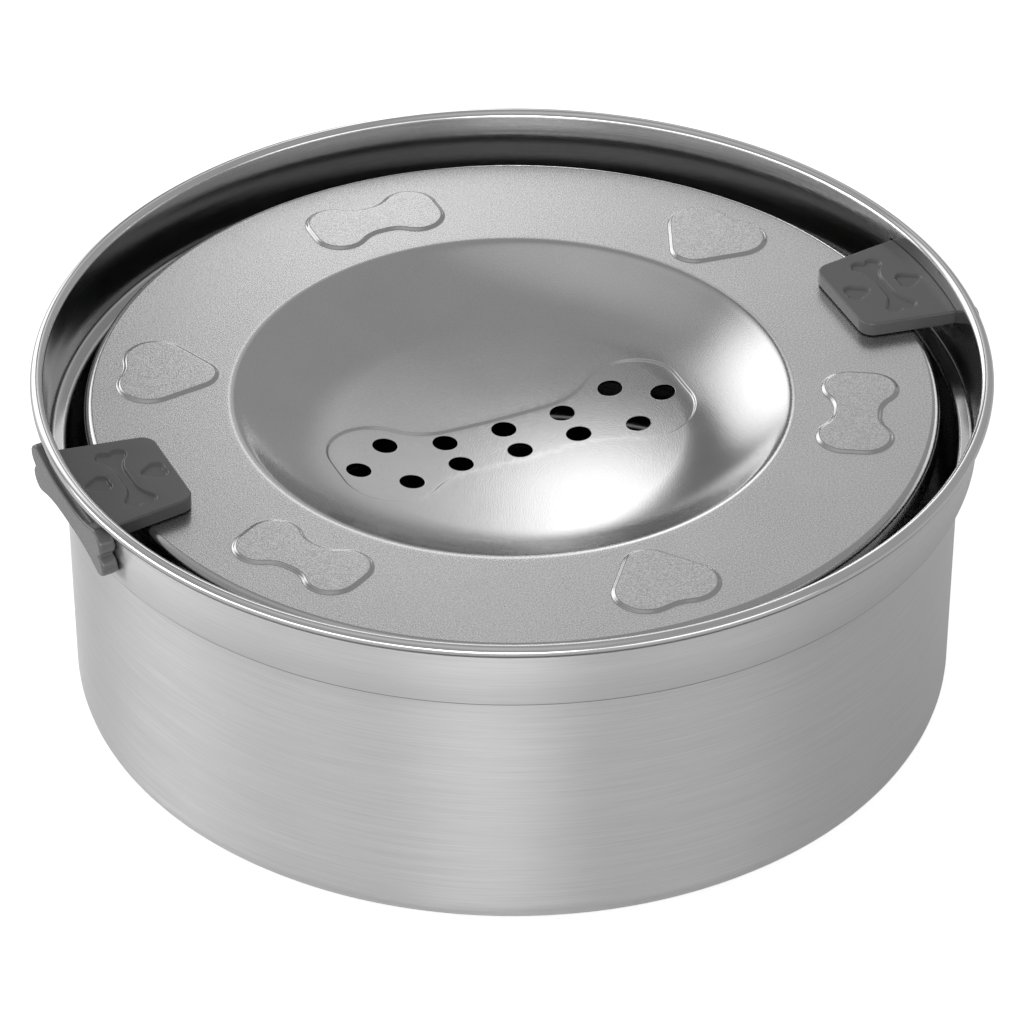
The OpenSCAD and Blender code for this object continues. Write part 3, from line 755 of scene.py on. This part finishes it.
def build_plate(s):
    """The float's plate: ring with motifs, dish with a sunk panel and real holes, rolled edge and skirt."""
    motifs, panel, holes = plate_figures(s)
    flat_r = s.float_r - s.edge_r
    loops = [circle(flat_r, s.steps)]
    for motif in motifs:
        loops += slope_loops(motif, s.motif_slope, MOTIF_START, MOTIF_ENDS)
    loops += slope_loops(panel, s.panel_slope, PANEL_START, PANEL_ENDS)
    for hole in holes:
        loops += [circle(s.hole_r + s.hole_roll * k, HOLE_STEPS, hole) for k in HOLE_LOOPS]
    loops += [circle(s.dish_r + d, s.steps) for d in np.linspace(-CREASE_HALF, CREASE_HALF, CREASE_LOOPS)]
    radii = [*np.arange(2.5, 60, 2.5), *np.arange(60, s.dish_r - 2.5, 1.5)]
    radii += list(np.arange(s.dish_r + 3, flat_r - 2, 3))
    spots = [np.zeros((1, 2))]
    for r in radii:
        spots.append(circle(r, max(24, min(s.steps, int(r * 3.3)))))
    spots = np.vstack(spots)
    keep = np.linalg.norm(spots[:, None] - holes[None], axis=2).min(1) > s.hole_r + s.hole_roll + 0.5
    slopes = [(m, s.motif_slope, MOTIF_START) for m in motifs] + [(panel, s.panel_slope, PANEL_START)]
    for loop, slope, start in slopes:
        depth = depth_in(spots, loop)
        keep &= (depth < start - 0.4) | (depth > start + slope + 0.4)
    flat, faces = triangles(spots[keep], loops)
    middle = flat[faces].mean(1)
    open_hole = np.linalg.norm(middle[:, None] - holes[None], axis=2).min(1) < s.hole_r
    faces = faces[~open_hole]
    figures = (s, motifs, panel, holes)
    z = plate_height(flat, *figures)
    d = 0.02
    slope_x = (plate_height(flat + [d, 0], *figures) - plate_height(flat - [d, 0], *figures)) / (2 * d)
    slope_y = (plate_height(flat + [0, d], *figures) - plate_height(flat - [0, d], *figures)) / (2 * d)
    up = np.column_stack([-slope_x, -slope_y, np.ones(len(flat))])
    up /= np.linalg.norm(up, axis=1)[:, None]
    rim = np.hypot(flat[:, 0], flat[:, 1]) > flat_r - 1e-3
    z[rim], up[rim] = 0, (0, 0, 1)
    count = len(flat)
    top = np.column_stack([flat, z + s.ring_z])
    under = top - [0, 0, s.sheet]
    verts, normals = [top, under], [up, -up]
    all_faces = [list(f) for f in faces] + [list(f[::-1] + count) for f in faces]
    borders = border_edges(faces)
    total = 2 * count
    for a, b in borders:
        if rim[a]:
            continue
        near = holes[np.argmin(np.linalg.norm(holes - flat[a], axis=1))]
        inward = [np.append(unit(near - flat[k]), 0) for k in (a, b)]
        verts.append(np.array([top[a], top[b], under[b], under[a]]))
        normals.append(np.array([inward[0], inward[1], inward[1], inward[0]]))
        all_faces.append([total + 3, total + 2, total + 1, total][::-1])
        total += 4
    ring = np.flatnonzero(rim)
    ring = ring[np.argsort(np.arctan2(flat[ring, 1], flat[ring, 0]))]
    turns = np.arctan2(flat[ring, 1], flat[ring, 0])
    inside_r = s.edge_r - s.sheet
    low = -s.skirt_h
    hem = low + s.hem_r
    path = np.vstack([arc((flat_r, -s.edge_r), s.edge_r, 90, 0, 11)[1:], [[s.float_r, hem]],
                      arc((s.float_r - s.hem_r, hem), s.hem_r, -20, -160, 20),
                      [[s.float_r - s.sheet, hem]], arc((flat_r, -s.edge_r), inside_r, 0, 90, 15)[:-1]])
    whole = np.vstack([[[flat_r, 0]], path, [[flat_r, -s.sheet]]])
    along = whole[2:] - whole[:-2]
    out = np.column_stack([-along[:, 1], along[:, 0]])
    out /= np.linalg.norm(out, axis=1)[:, None]
    rows = [ring]
    for (r, h), (nr, nz) in zip(path, out):
        level = np.full(len(turns), h + s.ring_z)
        verts.append(np.column_stack([r * np.cos(turns), r * np.sin(turns), level]))
        normals.append(np.column_stack([nr * np.cos(turns), nr * np.sin(turns), np.full(len(turns), nz)]))
        rows.append(np.arange(total, total + len(turns)))
        total += len(turns)
    rows.append(ring + count)
    for upper, lower in zip(rows, rows[1:]):
        for j in range(len(ring)):
            n = (j + 1) % len(ring)
            all_faces.append([upper[j], lower[j], lower[n], upper[n]])
    verts = np.vstack(verts)
    middle = np.array([verts[f, :2].mean(0) for f in all_faces])
    far = np.hypot(middle[:, 0], middle[:, 1])
    picks = ((far < s.dish_r + CREASE_HALF) | (far > flat_r)).astype(int)
    # The motifs' sloped sides take the polished pressed steel in a darker tone; the darker tone is painted
    # shade along their outlines
    for motif in motifs:
        depth = depth_in(middle, motif)
        picks[(depth > MOTIF_START) & (depth < MOTIF_START + s.motif_slope)] = 2
    steels = [grain_steel("blasted_steel", (0.40, 0.78), (0.24, 0.30), 0.12, 0.06),
              grain_steel("dish_steel", (0.48, 0.56), (0.13, 0.17), 0.10, 0.35),
              grain_steel("press_steel", (0.44, 0.51), (0.13, 0.17), 0.10, 0.35)]
    return new_piece("float_plate", verts, all_faces, steels, "float", "float_top_plate",
                     normals=np.vstack(normals), picks=picks.tolist())


def build_pan(s):
    """The pan of the float with its two seals."""
    t = s.sheet
    outer = rounded([(s.well_r, s.pan_lip, 0), (s.well_r, s.pan_z, s.pan_corner),
                     (s.pan_r, s.pan_z, s.pan_corner), (s.pan_r, s.pan_top, 0)])
    inner = rounded([(s.pan_r - t, s.pan_top, 0), (s.pan_r - t, s.pan_z + t, s.pan_corner - t),
                     (s.well_r + t, s.pan_z + t, s.pan_corner - t), (s.well_r + t, s.pan_lip, 0)])
    turns = np.arange(s.steps) * 2 * math.pi / s.steps
    verts, faces, _ = turned(np.vstack([outer, inner]), turns, closed=True)
    new_piece("float_trough", verts, faces, [drawn_steel()], "float", "float_pan")
    rubber = dark_rubber("seal_rubber", (0.14, 0.18))
    low, high = s.seal_low, s.seal_low + s.seal_h
    ring = [(s.pan_r, low, 0), (s.float_r - t, low, 0), (s.float_r - t, high, 0), (s.pan_r, high, 0)]
    verts, faces, _ = turned([p[:2] for p in ring], turns, closed=True)
    new_piece("outer_seal", verts, faces, [rubber], "float", "outer_seam_gasket")
    a, b = s.well_r - s.cap_wall, s.well_r + t + s.cap_wall
    low, lip = s.pan_lip - s.cap_h, s.pan_lip

    def under(r):
        return s.ring_z + float(dish_height(np.array([r]), s)[0]) - t - s.cap_gap

    wall = s.well_r + t
    cap = [(a, low), (s.well_r, low), (s.well_r, lip), (wall, lip), (wall, low), (b, low), (b, under(b)),
           (a, under(a))]
    verts, faces, _ = turned(cap, turns, closed=True)
    new_piece("inner_seal", verts, faces, [rubber], "float", "inner_seam_gasket")


MARK_ENDS = 0.35


def slab(outline, thick, edge, marks=(), depth=0.0, slope=0.5, fill=3.0):
    """A flat plate with rounded edges and sunk marks: vertices from 0 to thick, normals and faces."""
    steps = 5
    edges = [edge * (1 - math.cos(math.radians(90 * k / steps))) for k in range(1, steps + 1)]
    loops = [outline] + [moved_in(outline, d) for d in edges]
    mark_loops = [loop for m in marks for loop in slope_loops(m, slope, -slope / 2, MARK_ENDS)]
    low, high = outline.min(0), outline.max(0)
    columns, lines = [np.arange(low[k], high[k], fill) for k in (0, 1)]
    across = np.stack(np.meshgrid(columns, lines), -1).reshape(-1, 2)
    keep = depth_in(across, outline) > edge + 0.4
    for m in marks:
        keep &= abs(depth_in(across, m)) > slope / 2 + 0.3
    verts, normals, faces, total = [], [], [], 0
    rims = []
    for upper in (True, False):
        flat, tris = triangles(across[keep], loops + (mark_loops if upper else []))
        inside = depth_in(flat[tris].mean(1), outline) > 0
        tris = tris[inside]
        gap = np.maximum(depth_in(flat, outline), 0)
        d = 0.01
        across_x = depth_in(flat + [d, 0], outline) - depth_in(flat - [d, 0], outline)
        across_y = depth_in(flat + [0, d], outline) - depth_in(flat - [0, d], outline)
        grad = np.column_stack([across_x, across_y]) / (2 * d)
        bend = np.clip((edge - gap) / edge, 0, 1)
        rise = edge * (np.sqrt(np.maximum(1 - bend ** 2, 0)) - 1)
        tilt = -grad * bend[:, None]
        lift = np.sqrt(np.maximum(1 - bend ** 2, 0))
        z = thick + rise
        if upper:
            for m in marks:
                z -= depth * ramp(depth_in(flat, m), slope, -slope / 2, MARK_ENDS)
                for axis in (0, 1):
                    step = np.eye(2)[axis] * d
                    ahead = ramp(depth_in(flat + step, m), slope, -slope / 2, MARK_ENDS)
                    behind = ramp(depth_in(flat - step, m), slope, -slope / 2, MARK_ENDS)
                    tilt[:, axis] += depth * (ahead - behind) / (2 * d)
        up = np.column_stack([tilt, lift])
        up /= np.maximum(np.linalg.norm(up, axis=1), 1e-9)[:, None]
        if not upper:
            z, up, tris = thick - z, up * [1, 1, -1], tris[:, ::-1]
        verts.append(np.column_stack([flat, z]))
        normals.append(up)
        faces += [list(t + total) for t in tris]
        rims.append([int(np.argmin(((flat - p) ** 2).sum(1))) + total for p in outline])
        total += len(flat)
    for j in range(len(outline)):
        n = (j + 1) % len(outline)
        faces.append([rims[1][j], rims[1][n], rims[0][n], rims[0][j]])
    return np.vstack(verts), np.vstack(normals), faces


def build_latch(s, name, node, turn):
    """One latch: a tongue with sunk marks and a bone-shaped head, bent to the band on its inside."""
    slope = math.tan(s.tongue_half)
    x_out = s.head_in + s.head_t / 2
    y_in, y_out = s.tongue_in * slope, x_out * slope
    corners = [(s.tongue_in, -y_in, s.tongue_corner), (x_out, -y_out, 0), (x_out, y_out, 0),
               (s.tongue_in, y_in, s.tongue_corner)]
    outline = resampled(rounded(corners, closed=True), 0.8)
    across = knuckle_bone(s.mark_l, s.mark_w, s.mark_shaft, s.mark_flat, 0.35, 2)
    small = heart(s.mark_heart, s.mark_heart, 0.3)
    marks = [placed(across, (s.mark_x, 0), 90)]
    marks += [placed(small, (s.mark_x + side * s.mark_gap, 0), 180) for side in (-1, 1)]
    verts, normals, faces = slab(outline, s.tongue_t, s.edge_r, marks, s.mark_depth, s.mark_slope)
    verts = verts + [0, 0, s.tongue_z]
    head = knuckle_bone(s.head_l, s.head_h, s.head_shaft, s.head_flat, 0.4, 3)
    flat, lean, more = slab(head, s.head_t, s.edge_r)
    along, high, out = flat.T
    out = out - (1 - out / s.head_t) * (s.head_in - np.sqrt(s.head_in ** 2 - along ** 2))
    c, sn = math.cos(s.head_lean), math.sin(s.head_lean)
    bent = np.column_stack([s.head_in + out * c + high * sn, along, s.head_z - out * sn + high * c])
    out = np.column_stack([lean[:, 2] * c + lean[:, 1] * sn, lean[:, 0], lean[:, 1] * c - lean[:, 2] * sn])
    faces = faces + [[k + len(verts) for k in f] for f in more]
    verts, normals = np.vstack([verts, bent]), np.vstack([normals, out])
    spin = np.array([math.cos(turn), math.cos(turn), 1])
    return new_piece(name, verts * spin, faces, [dark_plastic()], node, node,
                     normals=normals * spin)


# Soft boxes: name, azimuth, elevation, width and height in degrees, level
LIGHTS = [
    ("strip", -3, 23, 7.5, 33, 2.3),
    ("glow", 6, 28, 20, 36, 0.32),
    ("window", -38, 21, 44, 54, 2.0),
    ("left_low", -96, 8, 56, 17, 7.0),
    ("front_left", -136, 8, 46, 17, 3.8),
    ("front_low", -174, 8, 46, 17, 8.0),
    ("front_right", 140, 8, 60, 17, 2.2),
    ("top", -130, 76, 150, 44, 0.25),
]


def build_lights(s):
    """Soft boxes around the object: azimuth counts from the direction away from the camera, to the right."""
    distance = s.lamp_away * MM
    for name, azimuth, elevation, wide, high, level in LIGHTS:
        data = bpy.data.lights.new("light_" + name, "AREA")
        data.shape = "RECTANGLE"
        data.size = 2 * distance * math.cos(math.radians(elevation)) * math.tan(math.radians(wide / 2))
        data.size_y = 2 * distance * math.tan(math.radians(high / 2))
        data.energy = level * math.pi * data.size * data.size_y * s.power
        data.use_nodes = True
        tree = data.node_tree
        place = node_in(tree, "ShaderNodeNewGeometry").outputs["Parametric"]
        split = node_in(tree, "ShaderNodeSeparateXYZ", inputs={0: place})
        edges = []
        for along in split.outputs[:2]:
            edges.append(maths(tree, "MULTIPLY", along, maths(tree, "SUBTRACT", 1.0, along)))
        soft = maths(tree, "MULTIPLY", maths(tree, "MULTIPLY", *edges), 16.0)
        tree.links.new(soft, tree.nodes["Emission"].inputs["Strength"])
        lamp = bpy.data.objects.new("light_" + name, data)
        bpy.context.scene.collection.objects.link(lamp)
        a, e = s.azimuth - math.radians(azimuth), math.radians(elevation)
        way = Vector((-math.sin(a) * math.cos(e), math.cos(a) * math.cos(e), math.sin(e)))
        lamp.location = way * distance + Vector((0, 0, s.centre_z * MM))
        lamp.rotation_euler = (-way).to_track_quat("-Z", "Y").to_euler()
        lamp.visible_camera = False


# The dark card: azimuth, width and height in degrees, level
FLAG_AZIMUTH, FLAG_WIDE, FLAG_HIGH, FLAG_LEVEL = -13, 10, 48, 0.22
# Level of the floor to the camera and in reflections, and of the light around the object
FLOOR_SEEN, FLOOR_GLOW, WORLD_LEVEL = 0.7, 0.05, 0.43


def build_flag(s):
    """A tall dark card between the strip and the window, out of the camera's sight."""
    distance = s.flag_away * MM
    half = distance * math.tan(math.radians(FLAG_WIDE / 2))
    high = distance * math.tan(math.radians(FLAG_HIGH))
    mesh = bpy.data.meshes.new("flag")
    mesh.from_pydata([(-half, 0, 0), (half, 0, 0), (half, 0, high), (-half, 0, high)], [], [(0, 1, 2, 3)])
    material = bpy.data.materials.new("flag_dark")
    material.use_nodes = True
    shader = material.node_tree.nodes["Principled BSDF"]
    shader.inputs["Base Color"].default_value = (0, 0, 0, 1)
    shader.inputs["Specular IOR Level"].default_value = 0
    shader.inputs["Emission Color"].default_value = (1, 1, 1, 1)
    shader.inputs["Emission Strength"].default_value = FLAG_LEVEL
    mesh.materials.append(material)
    flag = bpy.data.objects.new("flag", mesh)
    bpy.context.scene.collection.objects.link(flag)
    a = s.azimuth - math.radians(FLAG_AZIMUTH)
    flag.location = (-math.sin(a) * distance, math.cos(a) * distance, s.centre_z * MM)
    flag.rotation_euler = (0, 0, a)
    flag.visible_camera = False
    flag.visible_shadow = False


def build_floor(s):
    """A plain pale floor that is white to the camera where no shadow falls."""
    mesh = bpy.data.meshes.new("floor")
    reach = s.floor_half * MM
    corners = [(-reach, -reach, 0), (reach, -reach, 0), (reach, reach, 0), (-reach, reach, 0)]
    mesh.from_pydata(corners, [], [(0, 1, 2, 3)])
    material = bpy.data.materials.new("floor_white")
    material.use_nodes = True
    tree = material.node_tree
    shader = tree.nodes["Principled BSDF"]
    shader.inputs["Base Color"].default_value = (0.8, 0.8, 0.8, 1)
    shader.inputs["Roughness"].default_value = 0.9
    shader.inputs["Specular IOR Level"].default_value = 0.1
    path = node_in(tree, "ShaderNodeLightPath")
    seen = maths(tree, "MULTIPLY", path.outputs["Is Camera Ray"], FLOOR_SEEN)
    glow = maths(tree, "MULTIPLY_ADD", path.outputs["Is Glossy Ray"], FLOOR_GLOW, seen)
    shader.inputs["Emission Color"].default_value = (1, 1, 1, 1)
    tree.links.new(glow, shader.inputs["Emission Strength"])
    mesh.materials.append(material)
    floor = bpy.data.objects.new("floor", mesh)
    bpy.context.scene.collection.objects.link(floor)


def build_world():
    """White to the camera, soft grey light to the rest."""
    world = bpy.data.worlds.new("studio")
    bpy.context.scene.world = world
    world.use_nodes = True
    tree = world.node_tree
    backdrop = tree.nodes["Background"]
    path = node_in(tree, "ShaderNodeLightPath")
    level = ranged(tree, path.outputs["Is Camera Ray"], 0.0, 1.0, WORLD_LEVEL, 1.0)
    backdrop.inputs["Color"].default_value = (1, 1, 1, 1)
    tree.links.new(level, backdrop.inputs["Strength"])


def build_camera(s):
    """The camera, looking from the photograph's angle."""
    data = bpy.data.cameras.new("camera")
    data.lens, data.sensor_width = s.lens, 36
    data.clip_start, data.clip_end = 0.05, 20
    camera = bpy.data.objects.new("camera", data)
    bpy.context.scene.collection.objects.link(camera)
    x, y = math.sin(s.azimuth) * s.distance, -math.cos(s.azimuth) * s.distance
    camera.location = Vector((x, y, s.height)) * MM
    way = Vector((0, 0, s.aim * MM)) - camera.location
    camera.rotation_euler = way.to_track_quat("-Z", "Y").to_euler()
    bpy.context.scene.camera = camera


class FLOATING_BOWL_OT_bowl(bpy.types.Operator):
    """Build the bowl and its grip ring"""

    bl_idname = "floating_bowl.bowl"
    bl_label = "Bowl"

    def execute(self, context):
        sizes = in_mm(context.scene.floating_bowl)
        build_bowl(sizes)
        build_grip(sizes)
        return {"FINISHED"}


class FLOATING_BOWL_OT_float(bpy.types.Operator):
    """Build the float's plate, pan and seals"""

    bl_idname = "floating_bowl.float"
    bl_label = "Float"

    def execute(self, context):
        sizes = in_mm(context.scene.floating_float)
        build_plate(sizes)
        build_pan(sizes)
        return {"FINISHED"}


class FLOATING_BOWL_OT_latches(bpy.types.Operator):
    """Build the two latches"""

    bl_idname = "floating_bowl.latches"
    bl_label = "Latches"

    def execute(self, context):
        sizes = in_mm(context.scene.floating_latch)
        build_latch(sizes, "latch_right", "right_latch", 0)
        build_latch(sizes, "latch_left", "left_latch", math.pi)
        return {"FINISHED"}


class FLOATING_BOWL_OT_stage(bpy.types.Operator):
    """Build the floor, the light and the camera"""

    bl_idname = "floating_bowl.stage"
    bl_label = "Stage"

    def execute(self, context):
        sizes = in_mm(context.scene.floating_stage)
        build_floor(sizes)
        build_world()
        build_lights(sizes)
        build_flag(sizes)
        build_camera(sizes)
        context.scene.view_settings.view_transform = "Standard"
        return {"FINISHED"}


class FLOATING_BOWL_PT_panel(bpy.types.Panel):
    """Sidebar panel with one button for each step"""

    bl_label = "Floating water bowl"
    bl_idname = "FLOATING_BOWL_PT_panel"
    bl_space_type = "VIEW_3D"
    bl_region_type = "UI"
    bl_category = "Bowl"

    def draw(self, context):
        for operator in OPERATORS:
            self.layout.operator(operator.bl_idname)


SETTINGS = {
    "floating_bowl": BowlSettings,
    "floating_float": FloatSettings,
    "floating_latch": LatchSettings,
    "floating_stage": StageSettings,
}
OPERATORS = [FLOATING_BOWL_OT_bowl, FLOATING_BOWL_OT_float, FLOATING_BOWL_OT_latches, FLOATING_BOWL_OT_stage]


def register():
    for name, group in SETTINGS.items():
        bpy.utils.register_class(group)
        setattr(bpy.types.Scene, name, PointerProperty(type=group))
    for cls in [*OPERATORS, FLOATING_BOWL_PT_panel]:
        bpy.utils.register_class(cls)


def unregister():
    for cls in [FLOATING_BOWL_PT_panel, *OPERATORS[::-1]]:
        bpy.utils.unregister_class(cls)
    for name, group in SETTINGS.items():
        delattr(bpy.types.Scene, name)
        bpy.utils.unregister_class(group)


def main():
    register()
    bpy.ops.floating_bowl.bowl()
    bpy.ops.floating_bowl.float()
    bpy.ops.floating_bowl.latches()
    bpy.ops.floating_bowl.stage()


if __name__ == "__main__":
    main()
